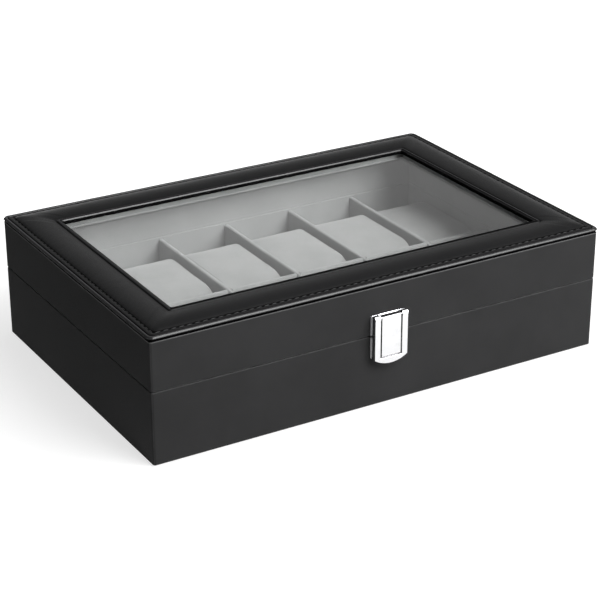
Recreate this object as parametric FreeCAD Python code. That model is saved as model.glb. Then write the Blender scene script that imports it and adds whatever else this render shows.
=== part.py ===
# Watch box: a wrapped case with a glazed lid on two hinges, a bail latch, a divider grid and watch pillows.
# Millimetres. +X runs along the case, -Y is the latch side, +Z is up.
# The origin is the middle of the underside, on the surface that the case stands on.
import FreeCAD, Part
import math
import os

V = FreeCAD.Vector
X_AXIS = V(1, 0, 0)
Y_AXIS = V(0, 1, 0)
Z_AXIS = V(0, 0, 1)

# Case
CASE_LENGTH = 300.0        # along X, outside the wrap
CASE_DEPTH = 200.0         # along Y, outside the wrap
PARTING_HEIGHT = 45.0      # middle of the gap between base and lid
PARTING_GAP = 0.4
LID_HEIGHT = 31.2          # parting height to the top of the lid's board
WALL = 6.0                 # fibreboard walls of the base and the lid
WRAP = 0.8                 # leatherette skin
WRAP_CORNER = 1.5          # radius of the upright corners
WRAP_RIM = 0.6             # radius where the skin turns over a rim
UNDERSIDE = 0.8            # felt sheet that the case stands on
UNDERSIDE_INSET = 2.0
BOTTOM_BOARD = 4.0
LINING = 1.2               # velvet on card, on the floor and walls of the base
LID_LINING = 0.6           # velvet straight on the board, in the lid and above the cards
CARD_DROP = 1.6            # parting height to the top of the cards
CARD_ROUND = 0.5           # radius along the top inner edge of a card
LINING_GAP = 0.1           # between the linings of base and lid

# Divider grid
COLUMNS = 6
DIVIDER = 3.0              # thickness
DIVIDER_DROP = 2.5         # base rim to the top of the dividers
DIVIDER_ROUND = 1.1        # radius along a divider's top edges
LAP_CLEARANCE = 0.1        # each side of a cross-halving slot

# Watch pillows
PILLOW_LENGTH = 77.0       # along Y, the way a strap runs
PILLOW_WIDTH = 38.8        # along X
PILLOW_HEIGHT = 34.0
PILLOW_TOP_ROUND = 17.0
PILLOW_FOOT_ROUND = 12.0
PILLOW_CROWN = 0.6         # how far the middle stands above the shoulders
PILLOW_DRAW = 2.0          # how far the ends are drawn in past the shoulders
PILLOW_SHOULDER = 3.0      # end to shoulder
PILLOW_NEAR_GAP = 3.5      # latch side of the cell to the pillow

# Lid
WINDOW_BORDER = 27.2       # outside of the case to the edge of the window
COVER_OVERHANG = 0.7       # outer bead of the padded cover beyond the wrap
COVER_CORNER = 3.0
COVER_CROWN = 4.0          # board to the top of the padding
OUTER_BEAD_HEIGHT = 2.1
OUTER_BEAD_TOP_IN = 0.4    # outside of the case to the top of the outer bead
OUTER_CREASE_IN = 1.5
OUTER_CREASE_HEIGHT = 1.6
SEAM_IN = 4.3              # outside of the case to the seam
SEAM_HEIGHT = 2.0          # board to the bottom of the seam's valley
INNER_BEAD = 3.3           # width of the bead round the window
INNER_BEAD_HEIGHT = 3.1
INNER_CREASE_HEIGHT = 2.5
INNER_FACE_HEIGHT = 1.6    # upright face from the board to the inner bead's curve
GROOVE_HEIGHT = 1.2        # shadow groove in the side skin, under the outer bead
GROOVE_DEPTH = 0.5
GLASS = 3.0                # thickness of the pane, and of the board that frames it
GLASS_LAP = 6.5            # pane hidden under the cover
GLASS_CLEARANCE = 0.3
RETAINER = 4.8             # velvet-covered frame that holds the pane from below
RETAINER_SETBACK = 4.0     # edge of the window to the retainer's opening
RETAINER_ROUND = 1.2       # radius along the retainer's lower inner edge

# Hinges
HINGE_LENGTH = 30.0
HINGE_INSET = 45.0         # end of the case to the near end of a hinge
LEAF = 0.8
LEAF_REACH = 6.0           # hinge axis to the inner edge of a leaf
KNUCKLE_RADIUS = 2.0
LID_KNUCKLE_LENGTH = 10.0
KNUCKLE_GAP = 0.15
HINGE_PIN_RADIUS = 1.0
PIN_CLEARANCE = 0.04       # radial, on hinge pins and on the bail pin
HINGE_POCKET = 0.3         # room round leaf and knuckle
HINGE_TRAVEL = 100.0       # degrees
STOP_LUG_ANGLE = 70.0      # degrees of barrel taken by each stop lug
STOP_LUG_LENGTH = 1.5
STOP_LUG_START = -160.0    # degrees from +Y towards +Z
STOP_SLACK = 1.0           # degrees left at the stop
HINGE_SCREW_SPREAD = 20.0

# Screws
SCREW_HEAD_RADIUS = 1.5
SCREW_HEAD = 0.7
SCREW_RADIUS = 0.75
SCREW_LENGTH = 5.0
SCREW_CLEARANCE = 0.03
RECESS_LENGTH = 1.8        # cross recess in a screw head
RECESS_WIDTH = 0.4
RECESS_DEPTH = 0.4

# Latch
PLATE = 0.7
PLATE_WIDTH = 22.8
LID_PLATE_HEIGHT = 12.4
KEEPER_PLATE_HEIGHT = 13.5
PLATE_CORNER = 1.0
PLATE_SETBACK = 0.5        # parting height to each plate
BLOCK_WIDTH = 12.8
BLOCK_DEPTH = 4.2          # plate to the front of the hinge block
BLOCK_EDGE = 0.25
TONGUE = 1.8               # thickness of the tongue that hangs from the hinge block over the keeper
TONGUE_CLEARANCE = 0.3     # tongue to the front of the keeper block
TONGUE_LIFT = 0.2          # foot of the keeper block to the end of the tongue
LID_BLOCK_HEIGHT = 12.1
KEEPER_BLOCK_HEIGHT = 12.1
BAIL_WIDTH = 22.0
BAIL_THICKNESS = 4.0
BAIL_STANDOFF = 0.4        # plate to the back of the bail
BAIL_SIDE_GAP = 0.9        # block to a bail arm
BAIL_HOOK_GAP = 0.6        # keeper block to the bail's crossbar
BAIL_BAR = 0.6             # depth of the crossbar where it meets the arms
BAIL_BOW = 3.4             # how far the crossbar's lower edge bows down
BAIL_EDGE = 0.45
BAIL_PIN_RADIUS = 0.6
BAIL_PIN_DROP = 1.1        # top of the hinge block to the bail's axis
BAIL_PIN_END = 1.0         # end of the pin to the outside of the arm
LATCH_SCREW_LIFT = 4.5     # parting height to a latch screw

# Places worked out from the sizes above
half_length = CASE_LENGTH / 2
half_depth = CASE_DEPTH / 2
base_rim = PARTING_HEIGHT - PARTING_GAP / 2
lid_rim = PARTING_HEIGHT + PARTING_GAP / 2
lid_top = PARTING_HEIGHT + LID_HEIGHT
wall_out_x = half_length - WRAP
wall_out_y = half_depth - WRAP
wall_in_x = wall_out_x - WALL
wall_in_y = wall_out_y - WALL
room_x = wall_in_x - LINING
room_y = wall_in_y - LINING
floor_height = UNDERSIDE + BOTTOM_BOARD + LINING
divider_top = base_rim - DIVIDER_DROP
divider_height = divider_top - floor_height
cell_width = (2 * room_x - (COLUMNS - 1) * DIVIDER) / COLUMNS
column_pitch = cell_width + DIVIDER
window_x = half_length - WINDOW_BORDER
window_y = half_depth - WINDOW_BORDER
pane_x = window_x + GLASS_LAP
pane_y = window_y + GLASS_LAP
board_foot = lid_top - GLASS
retainer_foot = board_foot - RETAINER
groove_foot = lid_top - GROOVE_HEIGHT
card_top = PARTING_HEIGHT - CARD_DROP
hinge_y = half_depth
hinge_z = PARTING_HEIGHT
latch_face = -half_depth
plate_front = latch_face - PLATE
lid_block_top = PARTING_HEIGHT + PLATE_SETBACK + LID_BLOCK_HEIGHT
keeper_block_foot = PARTING_HEIGHT - PLATE_SETBACK - KEEPER_BLOCK_HEIGHT
tongue_foot = keeper_block_foot + TONGUE_LIFT
keeper_depth = BLOCK_DEPTH - TONGUE - TONGUE_CLEARANCE
bail_back = plate_front - BAIL_STANDOFF
bail_axis_y = bail_back - BAIL_THICKNESS / 2
bail_axis_z = lid_block_top - BAIL_PIN_DROP
bail_inner = BLOCK_WIDTH / 2 + BAIL_SIDE_GAP
BEYOND = 5.0               # how far a cutting shape runs past what it cuts

parts = {}


def block(x0, x1, y0, y1, z0, z1):
    """A box between two corners."""
    return Part.makeBox(x1 - x0, y1 - y0, z1 - z0, V(x0, y0, z0))


def slab(half_x, half_y, z0, z1):
    """A box centred on the Z axis."""
    return block(-half_x, half_x, -half_y, half_y, z0, z1)


def upright_edges(shape):
    return [e for e in shape.Edges if abs(e.tangentAt(e.FirstParameter).z) > 0.99]


def rounded_slab(half_x, half_y, z0, z1, radius):
    """A slab with rounded upright corners."""
    plain = slab(half_x, half_y, z0, z1)
    return plain.makeFillet(radius, upright_edges(plain))


def edges_at(shape, place, axis):
    """Edges that lie wholly at one height along an axis, 0 for X, 1 for Y and 2 for Z."""
    return [e for e in shape.Edges if all(abs(v.Point[axis] - place) < 1e-6 for v in e.Vertexes)]


def barrel(radius, x0, x1, y, z):
    """A cylinder along X."""
    return Part.makeCylinder(radius, x1 - x0, V(x0, y, z), X_AXIS)


def screw(place, into, grow=0.0):
    """A countersunk wood screw whose head is flush at place, or with grow the hole for it."""
    head = Part.makeCone(SCREW_HEAD_RADIUS + grow, SCREW_RADIUS + grow, SCREW_HEAD, place, into)
    shank = Part.makeCylinder(SCREW_RADIUS + grow, SCREW_LENGTH + grow, place, into)
    whole = head.fuse(shank).removeSplitter()
    return whole if grow else whole.cut(cross_recess(place, into))


def cross_recess(place, into):
    """Two crossed slots in a screw head."""
    half = RECESS_LENGTH / 2
    side = RECESS_WIDTH / 2
    slots = [block(-half, half, -side, side, -RECESS_DEPTH, RECESS_DEPTH),
             block(-side, side, -half, half, -RECESS_DEPTH, RECESS_DEPTH)]
    cross = slots[0].fuse(slots[1]).removeSplitter()
    cross.Placement = FreeCAD.Placement(place, FreeCAD.Rotation(Z_AXIS, into))
    return cross


def hinge_middles():
    x = half_length - HINGE_INSET - HINGE_LENGTH / 2
    return [-x, x]


def hinge_screw_places(rim):
    """Screw heads of both hinges on a leaf face at a rim."""
    y = hinge_y - (LEAF_REACH + KNUCKLE_RADIUS) / 2 - HINGE_POCKET / 2
    return [V(x + s * HINGE_SCREW_SPREAD / 2, y, rim) for x in hinge_middles() for s in (-1, 1)]


def latch_screw_places(side):
    """Screw heads on a latch plate, beside its block: side is 1 on the lid and -1 on the base."""
    x = (BLOCK_WIDTH + PLATE_WIDTH) / 4
    z = PARTING_HEIGHT + side * (PLATE_SETBACK + LATCH_SCREW_LIFT)
    return [V(s * x, plate_front, z) for s in (-1, 1)]


def hinge_pockets(rim, side):
    """Room for the leaves and knuckles: side is 1 for the lid, whose leaf lies above its rim, and -1 for the base."""
    cuts = []
    for x in hinge_middles():
        x0 = x - HINGE_LENGTH / 2 - HINGE_POCKET
        x1 = x + HINGE_LENGTH / 2 + HINGE_POCKET
        low, high = sorted((rim + side * LEAF, rim - side * BEYOND))
        cuts.append(block(x0, x1, hinge_y - LEAF_REACH - HINGE_POCKET, hinge_y + BEYOND, low, high))
        cuts.append(barrel(KNUCKLE_RADIUS + HINGE_POCKET, x0, x1, hinge_y, hinge_z))
    return cuts


def hinge_holes(rim, side):
    return [screw(p, Z_AXIS * side, SCREW_CLEARANCE) for p in hinge_screw_places(rim)]


def latch_holes(side):
    return [screw(p, Y_AXIS, SCREW_CLEARANCE) for p in latch_screw_places(side)]


def wall_set(names, z0, z1, back_cuts, front_cuts):
    """Four fibreboard walls, butted at the corners: front and back run the full length."""
    front, back, left, right = names
    parts[front] = block(-wall_out_x, wall_out_x, -wall_out_y, -wall_in_y, z0, z1).cut(front_cuts)
    parts[back] = block(-wall_out_x, wall_out_x, wall_in_y, wall_out_y, z0, z1).cut(back_cuts)
    parts[left] = block(-wall_out_x, -wall_in_x, -wall_in_y, wall_in_y, z0, z1)
    parts[right] = block(wall_in_x, wall_out_x, -wall_in_y, wall_in_y, z0, z1)


def lining_set(thickness, z0, z1):
    """Linings on the front, back, left and right walls: left and right run the full depth."""
    in_x = wall_in_x - thickness
    in_y = wall_in_y - thickness
    return [block(-in_x, in_x, -wall_in_y, -in_y, z0, z1), block(-in_x, in_x, in_y, wall_in_y, z0, z1),
            block(-wall_in_x, -in_x, -wall_in_y, wall_in_y, z0, z1),
            block(in_x, wall_in_x, -wall_in_y, wall_in_y, z0, z1)]


def card_set(z0):
    """Velvet on card on the walls of the base, each card with its top inner edge rounded."""
    inner = ((1, -room_y), (1, room_y), (0, -room_x), (0, room_x))
    rounded = []
    for card, (axis, place) in zip(lining_set(LINING, z0, card_top), inner):
        edges = [e for e in edges_at(card, card_top, 2) if abs(e.CenterOfMass[axis] - place) < 1e-6]
        rounded.append(card.makeFillet(min(CARD_ROUND, LINING / 2), edges))
    return rounded


def skin(z0, z1, rim_at_top):
    """A leatherette skin round four walls, turned over their rim at one end."""
    outer = rounded_slab(half_length, half_depth, z0, z1, WRAP_CORNER)
    rim = z1 if rim_at_top else z0
    outer = outer.makeFillet(WRAP_RIM, edges_at(outer, rim, 2))
    if rim_at_top:
        walls = slab(wall_out_x, wall_out_y, z0 - BEYOND, z1 - WRAP)
    else:
        walls = slab(wall_out_x, wall_out_y, z0 + WRAP, z1 + BEYOND)
    return outer.cut([walls, slab(wall_in_x, wall_in_y, z0 - BEYOND, z1 + BEYOND)])


def build_base():
    """Fibreboard base, its skin and the felt under it."""
    back_cuts = hinge_pockets(base_rim, -1) + hinge_holes(base_rim, -1)
    front_cuts = latch_holes(-1)
    names = ["base_front_panel", "base_back_panel", "base_left_panel", "base_right_panel"]
    wall_set(names, UNDERSIDE, base_rim - WRAP, back_cuts, front_cuts)
    parts["base_bottom_board"] = slab(wall_in_x, wall_in_y, UNDERSIDE, UNDERSIDE + BOTTOM_BOARD)
    parts["base_wrap"] = skin(UNDERSIDE, base_rim, True).cut(back_cuts + front_cuts)
    parts["underside_felt"] = rounded_slab(
        half_length - UNDERSIDE_INSET, half_depth - UNDERSIDE_INSET, 0, UNDERSIDE, WRAP_CORNER)


def build_base_lining():
    """Velvet-covered cards on the floor and walls of the base, and velvet from the cards up to the rim."""
    board_top = UNDERSIDE + BOTTOM_BOARD
    parts["base_floor_lining"] = slab(room_x, room_y, board_top, floor_height)
    names = ["base_lining_front", "base_lining_back", "base_lining_left", "base_lining_right"]
    strips = lining_set(LID_LINING, card_top, PARTING_HEIGHT - LINING_GAP / 2)
    for name, card, strip in zip(names, card_set(board_top), strips):
        parts[name] = card.fuse(strip).removeSplitter()


def divider(x0, x1, y0, y1):
    """A velvet-covered divider with its two long top edges rounded."""
    board = block(x0, x1, y0, y1, floor_height, divider_top)
    along = 0 if x1 - x0 > y1 - y0 else 1
    top_edges = [e for e in edges_at(board, divider_top, 2) if abs(e.tangentAt(e.FirstParameter)[along]) > 0.99]
    return board.makeFillet(DIVIDER_ROUND, top_edges)


def build_dividers():
    """A long divider and short ones that cross it on halving joints."""
    half = DIVIDER / 2
    slot = half + LAP_CLEARANCE
    lap = floor_height + divider_height / 2
    long_one = divider(-room_x, room_x, -half, half)
    for column in range(1, COLUMNS):
        x = -room_x + column * column_pitch - half
        long_one = long_one.cut(block(x - slot, x + slot, -BEYOND, BEYOND, lap, divider_top + BEYOND))
        halving = block(x - BEYOND, x + BEYOND, -slot, slot, floor_height - BEYOND, lap)
        parts["divider_%d" % column] = divider(x - half, x + half, -room_y, room_y).cut(halving)
    parts["long_divider"] = long_one


def pillow_outline(x, inset):
    """A pillow's outline across X: a flat foot, upright ends and large rounds, all drawn in by inset."""
    y0 = inset
    y1 = PILLOW_LENGTH - inset
    top = PILLOW_HEIGHT - inset
    r_top = PILLOW_TOP_ROUND - inset
    r_foot = PILLOW_FOOT_ROUND - inset
    diagonal = math.sqrt(0.5)

    def corner(cy, cz, radius, side_y, side_z):
        points = [V(x, cy + side_y * radius, cz),
                  V(x, cy + side_y * radius * diagonal, cz + side_z * radius * diagonal),
                  V(x, cy, cz + side_z * radius)]
        return points if side_y * side_z > 0 else points[::-1]

    corners = [corner(y1 - r_top, top - r_top, r_top, 1, 1), corner(y0 + r_top, top - r_top, r_top, -1, 1),
               corner(y0 + r_foot, r_foot, r_foot, -1, -1), corner(y1 - r_foot, r_foot, r_foot, 1, -1)]
    edges = []
    for number, points in enumerate(corners):
        edges.append(Part.Arc(*points).toShape())
        edges.append(Part.LineSegment(points[2], corners[(number + 1) % 4][0]).toShape())
    return Part.Wire(edges)


def pillow_inset(x):
    """How far the outline is drawn in at a place along the pillow: a slow crown, then a round at the end."""
    half = PILLOW_WIDTH / 2
    past = max(0.0, abs(x) - half + PILLOW_SHOULDER) / PILLOW_SHOULDER
    return PILLOW_CROWN * (x / half) ** 2 + PILLOW_DRAW * (1 - math.sqrt(1 - min(1.0, past) ** 2))


def pillow():
    """A pillow on the origin: crowned in the middle, drawn in at both ends."""
    half = PILLOW_WIDTH / 2
    shoulder = half - PILLOW_SHOULDER
    reach = [shoulder / 3, shoulder * 2 / 3, shoulder, half - PILLOW_SHOULDER / 3, half]
    places = [-x for x in reach[::-1]] + [0] + reach
    return Part.makeLoft([pillow_outline(x, pillow_inset(x)) for x in places], True, False)


def build_pillows():
    """One pillow in each cell, standing on the floor and nearer to the latch side."""
    shape = pillow()
    rows = {"front": -room_y, "back": DIVIDER / 2}
    for row, near_side in rows.items():
        for column in range(COLUMNS):
            x = -room_x + cell_width / 2 + column * column_pitch
            place = V(x, near_side + PILLOW_NEAR_GAP, floor_height)
            parts["pillow_%s_%d" % (row, column + 1)] = shape.translated(place)


def cover_section():
    """The padded cover's section in the YZ plane, with the outside of the case at y = 0 and the board at z = 0."""
    crease_in = WINDOW_BORDER - INNER_BEAD
    foot_out = V(0, 0, 0)
    bead_side = V(0, -COVER_OVERHANG, OUTER_BEAD_HEIGHT / 2)
    bead_top = V(0, OUTER_BEAD_TOP_IN, OUTER_BEAD_HEIGHT)
    crease = V(0, OUTER_CREASE_IN, OUTER_CREASE_HEIGHT)
    bead_turn = (bead_top + crease) / 2 + V(0, 0.2, 0.2) * OUTER_BEAD_TOP_IN
    seam = V(0, SEAM_IN, SEAM_HEIGHT)
    crown = V(0, (SEAM_IN + crease_in) / 2, COVER_CROWN)
    inner_crease = V(0, crease_in, INNER_CREASE_HEIGHT)
    inner_top = V(0, crease_in + INNER_BEAD / 2, INNER_BEAD_HEIGHT)
    face = V(0, WINDOW_BORDER, INNER_FACE_HEIGHT)
    foot_in = V(0, WINDOW_BORDER, 0)
    edges = [Part.Arc(foot_out, bead_side, bead_top).toShape(),
             Part.Arc(bead_top, bead_turn, crease).toShape(),
             Part.LineSegment(crease, seam).toShape(),
             Part.Arc(seam, crown, inner_crease).toShape(),
             Part.Arc(inner_crease, inner_top, face).toShape(),
             Part.LineSegment(face, foot_in).toShape(),
             Part.LineSegment(foot_in, foot_out).toShape()]
    return Part.Face(Part.Wire(edges))


def cover_rail(out_x, out_y):
    """One side of the cover, along X with its outside at y = -out_y, mitred at both ends."""
    reach_x = out_x + COVER_OVERHANG
    reach_y = out_y + COVER_OVERHANG
    inward = WINDOW_BORDER + 2 * COVER_OVERHANG
    rail = cover_section().translated(V(-reach_x, -out_y, lid_top)).extrude(X_AXIS * (2 * reach_x))
    foot = lid_top - BEYOND
    mitre = [V(-reach_x, -reach_y, foot), V(reach_x, -reach_y, foot),
             V(reach_x - inward, inward - reach_y, foot), V(inward - reach_x, inward - reach_y, foot)]
    prism = Part.Face(Part.makePolygon(mitre + mitre[:1])).extrude(Z_AXIS * (COVER_CROWN + 2 * BEYOND))
    return rail.common(prism)


def build_cover():
    """Padded leatherette cover round the window, with rounded corners."""
    long_side = cover_rail(half_length, half_depth)
    short_side = cover_rail(half_depth, half_length)
    sides = []
    for turn, side in ((0, long_side), (90, short_side), (180, long_side), (270, short_side)):
        turned = side.copy()
        turned.rotate(V(0, 0, 0), Z_AXIS, turn)
        sides.append(turned)
    frame = sides[0].fuse(sides[1:]).removeSplitter()
    outline = rounded_slab(half_length + COVER_OVERHANG, half_depth + COVER_OVERHANG,
                           lid_top - BEYOND, lid_top + COVER_CROWN + BEYOND, COVER_CORNER)
    parts["lid_top_cover"] = frame.common(outline)


def build_lid():
    """Fibreboard lid, its skin, the glass and the frame that holds the glass."""
    back_cuts = hinge_pockets(lid_rim, 1) + hinge_holes(lid_rim, 1)
    front_cuts = latch_holes(1)
    names = ["lid_front_rail", "lid_back_rail", "lid_left_rail", "lid_right_rail"]
    wall_set(names, lid_rim + WRAP, board_foot, back_cuts, front_cuts)
    board = slab(wall_out_x, wall_out_y, board_foot, lid_top)
    rebate = slab(pane_x + GLASS_CLEARANCE, pane_y + GLASS_CLEARANCE, board_foot - BEYOND, lid_top + BEYOND)
    parts["lid_top_board"] = board.cut(rebate)
    around = slab(half_length + BEYOND, half_depth + BEYOND, groove_foot, lid_top + BEYOND)
    within = rounded_slab(half_length - GROOVE_DEPTH, half_depth - GROOVE_DEPTH,
                          groove_foot - BEYOND, lid_top + 2 * BEYOND, WRAP_CORNER - GROOVE_DEPTH)
    groove = around.cut(within)
    parts["lid_wrap"] = skin(lid_rim, lid_top, False).cut(back_cuts + front_cuts + [groove])
    parts["glass_pane"] = slab(pane_x, pane_y, board_foot, lid_top)
    opening = slab(window_x + RETAINER_SETBACK, window_y + RETAINER_SETBACK,
                   retainer_foot - BEYOND, board_foot + BEYOND)
    retainer = slab(wall_in_x, wall_in_y, retainer_foot, board_foot).cut(opening)
    inner_edges = [e for e in edges_at(retainer, retainer_foot, 2)
                   if all(abs(v.Point.x) < wall_in_x - 1e-6 for v in e.Vertexes)]
    parts["glass_retainer"] = retainer.makeFillet(RETAINER_ROUND, inner_edges)
    names = ["lid_lining_front", "lid_lining_back", "lid_lining_left", "lid_lining_right"]
    parts.update(zip(names, lining_set(LID_LINING, PARTING_HEIGHT + LINING_GAP / 2, retainer_foot)))


def stop_lug(x0, x1, start):
    """A sector of the hinge barrel that meets its opposite number when the lid is fully open."""
    sector = Part.makeCylinder(KNUCKLE_RADIUS, x1 - x0, V(0, 0, 0), Z_AXIS, STOP_LUG_ANGLE)
    sector.rotate(V(0, 0, 0), V(1, 1, 1), 120)
    sector.rotate(V(0, 0, 0), X_AXIS, start)
    return sector.translated(V(x0, hinge_y, hinge_z))


def hinge_leaf(x, side):
    """One hinge leaf: side is 1 for the lid, with the middle knuckle, and -1 for the base, with the two outer ones."""
    rim = lid_rim if side > 0 else base_rim
    half = HINGE_LENGTH / 2
    inner = LID_KNUCKLE_LENGTH / 2
    low, high = sorted((rim, rim + side * LEAF))
    spans = [(-inner, inner)] if side > 0 else [(-half, -inner), (inner, half)]
    shape = block(x - half, x + half, hinge_y - LEAF_REACH, hinge_y - KNUCKLE_RADIUS - HINGE_POCKET, low, high)
    bore = barrel(HINGE_PIN_RADIUS + PIN_CLEARANCE, x - half - BEYOND, x + half + BEYOND, hinge_y, hinge_z)
    for x0, x1 in spans:
        knuckle = barrel(KNUCKLE_RADIUS, x + x0, x + x1, hinge_y, hinge_z)
        neck = block(x + x0, x + x1, hinge_y - LEAF_REACH, hinge_y, low, high)
        shape = shape.fuse([knuckle, neck])
    lug_start = STOP_LUG_START
    if side > 0:
        lug_start += STOP_LUG_ANGLE + HINGE_TRAVEL + STOP_SLACK
    for end in (-1, 1):
        joint = x + end * inner
        own = -end * side
        root = joint + own * STOP_LUG_LENGTH
        tip = joint - own * (STOP_LUG_LENGTH - KNUCKLE_GAP)
        room = barrel(KNUCKLE_RADIUS + HINGE_POCKET, joint - STOP_LUG_LENGTH, joint + STOP_LUG_LENGTH,
                      hinge_y, hinge_z)
        shape = shape.cut(room).fuse(stop_lug(min(root, tip), max(root, tip), lug_start))
    return shape.cut([bore] + hinge_holes(rim, side)).removeSplitter()


def build_hinges():
    for name, x in zip(("left", "right"), hinge_middles()):
        half = HINGE_LENGTH / 2
        parts["hinge_base_leaf_" + name] = hinge_leaf(x, -1)
        parts["hinge_lid_leaf_" + name] = hinge_leaf(x, 1)
        parts["hinge_pin_" + name] = barrel(HINGE_PIN_RADIUS, x - half, x + half, hinge_y, hinge_z)
    parts["hinge_screws_base"] = Part.Compound([screw(p, -Z_AXIS) for p in hinge_screw_places(base_rim)])
    parts["hinge_screws_lid"] = Part.Compound([screw(p, Z_AXIS) for p in hinge_screw_places(lid_rim)])


def latch_plate(side, height):
    """A plate on the front wall, rounded at its far corners: side is 1 on the lid and -1 on the base."""
    near = PARTING_HEIGHT + side * PLATE_SETBACK
    z0, z1 = sorted((near, near + side * height))
    half = PLATE_WIDTH / 2
    plate = block(-half, half, plate_front, latch_face, z0, z1)
    far_corners = [e for e in plate.Edges if all(abs(v.Point.z - near) > PLATE_CORNER for v in e.Vertexes)
                   and abs(e.tangentAt(e.FirstParameter).y) > 0.99]
    return plate.makeFillet(PLATE_CORNER, far_corners)


def hinge_plate():
    """Plate on the lid, with the block that carries the pin and the tongue that hangs over the keeper."""
    half = BLOCK_WIDTH / 2
    foot = PARTING_HEIGHT + PLATE_SETBACK
    front = plate_front - BLOCK_DEPTH
    boss = block(-half, half, front, plate_front, foot, lid_block_top)
    boss = boss.fuse(block(-half, half, front, front + TONGUE, tongue_foot, foot)).removeSplitter()
    boss = boss.makeFillet(BLOCK_EDGE, edges_at(boss, front, 1))
    return latch_plate(1, LID_PLATE_HEIGHT).fuse(boss).cut(latch_holes(1)).removeSplitter()


def keeper():
    """Plate on the base, with the block that the bail's crossbar hooks under."""
    half = BLOCK_WIDTH / 2
    front = plate_front - keeper_depth
    boss = block(-half, half, front, plate_front, keeper_block_foot, PARTING_HEIGHT - PLATE_SETBACK)
    boss = boss.makeFillet(BLOCK_EDGE, edges_at(boss, front, 1))
    return latch_plate(-1, KEEPER_PLATE_HEIGHT).fuse(boss).cut(latch_holes(-1)).removeSplitter()


def build_latch():
    """Hinge plate on the lid, keeper on the base, and the bail that hooks under the keeper."""
    half = BAIL_WIDTH / 2
    bore = barrel(BAIL_PIN_RADIUS + PIN_CLEARANCE, -half + BAIL_PIN_END, half - BAIL_PIN_END,
                  bail_axis_y, bail_axis_z)
    parts["latch_hinge_plate"] = hinge_plate().cut(bore)
    parts["latch_keeper"] = keeper()
    parts["latch_pin"] = barrel(BAIL_PIN_RADIUS, -half + BAIL_PIN_END, half - BAIL_PIN_END,
                                bail_axis_y, bail_axis_z)
    parts["latch_screws_lid"] = Part.Compound([screw(p, Y_AXIS) for p in latch_screw_places(1)])
    parts["latch_screws_base"] = Part.Compound([screw(p, Y_AXIS) for p in latch_screw_places(-1)])
    parts["latch_bail"] = bail().cut(bore)


def bail():
    """A U-shaped bail: two arms that hang from the pin and a bowed crossbar under the keeper."""
    half = BAIL_WIDTH / 2
    bar_top = keeper_block_foot - BAIL_HOOK_GAP
    arm_foot = bar_top - BAIL_BAR
    front = bail_back - BAIL_THICKNESS
    corners = [V(bail_inner, front, bail_axis_z), V(bail_inner, front, bar_top), V(-bail_inner, front, bar_top),
               V(-bail_inner, front, bail_axis_z), V(-half, front, bail_axis_z), V(-half, front, arm_foot)]
    edges = [Part.LineSegment(a, b).toShape() for a, b in zip(corners, corners[1:])]
    low = V(half, front, arm_foot)
    edges.append(Part.Arc(corners[-1], V(0, front, arm_foot - BAIL_BOW), low).toShape())
    shoulder = V(half, front, bail_axis_z)
    edges.append(Part.LineSegment(low, shoulder).toShape())
    edges.append(Part.LineSegment(shoulder, corners[0]).toShape())
    body = Part.Face(Part.Wire(edges)).extrude(Y_AXIS * BAIL_THICKNESS)
    outline = [e for e in edges_at(body, front, 1) if any(v.Point.z < bail_axis_z - BAIL_EDGE for v in e.Vertexes)]
    body = body.makeFillet(BAIL_EDGE, outline)
    knuckles = [barrel(BAIL_THICKNESS / 2, bail_inner, half, bail_axis_y, bail_axis_z),
                barrel(BAIL_THICKNESS / 2, -half, -bail_inner, bail_axis_y, bail_axis_z)]
    return body.fuse(knuckles).removeSplitter()


def export():
    os.makedirs("parts", exist_ok=True)
    for name, shape in parts.items():
        shape.exportStep(os.path.join("parts", name + ".step"))


build_base()
build_base_lining()
build_dividers()
build_pillows()
build_lid()
build_cover()
build_hinges()
build_latch()
export()
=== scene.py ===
import math
import random

import bmesh
import bpy
from bpy.props import FloatProperty, FloatVectorProperty, IntProperty, PointerProperty
from mathutils import Matrix, Vector, noise


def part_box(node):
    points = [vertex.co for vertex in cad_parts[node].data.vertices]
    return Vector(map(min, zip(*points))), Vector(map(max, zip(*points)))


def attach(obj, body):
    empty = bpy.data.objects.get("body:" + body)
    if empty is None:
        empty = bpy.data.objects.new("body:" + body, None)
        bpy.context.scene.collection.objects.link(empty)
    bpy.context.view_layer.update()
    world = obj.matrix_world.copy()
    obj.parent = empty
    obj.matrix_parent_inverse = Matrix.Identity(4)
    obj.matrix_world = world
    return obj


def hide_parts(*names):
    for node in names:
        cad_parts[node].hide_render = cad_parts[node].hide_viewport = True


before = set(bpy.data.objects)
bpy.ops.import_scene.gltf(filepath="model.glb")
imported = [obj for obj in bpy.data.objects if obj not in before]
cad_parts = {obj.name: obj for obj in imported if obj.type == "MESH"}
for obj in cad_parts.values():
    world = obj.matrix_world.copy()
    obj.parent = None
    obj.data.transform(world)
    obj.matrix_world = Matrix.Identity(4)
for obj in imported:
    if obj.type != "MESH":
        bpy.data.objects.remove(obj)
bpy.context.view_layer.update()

bl_info = {
    "name": "Watch box",
    "version": (1, 0, 0),
    "blender": (4, 5, 0),
    "location": "View3D > Sidebar > Watch box",
    "description": "Dresses the packed watch box in leatherette, velvet, glass and plated metal",
    "category": "Object",
}

COVER_LOW, COVER_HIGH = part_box("lid_top_cover")
PILLOW_LOW, PILLOW_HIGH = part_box("pillow_front_1")
PILLOW_SIZE = PILLOW_HIGH - PILLOW_LOW
WALL_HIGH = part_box("base_wrap")[1]
PARTING = (WALL_HIGH.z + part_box("lid_wrap")[0].z) / 2
GROOVE_HEIGHT = 0.0012
GROOVE_FOOT = COVER_LOW.z - GROOVE_HEIGHT
MM = 0.001
NEAR = 1e-6


# Settings

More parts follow.
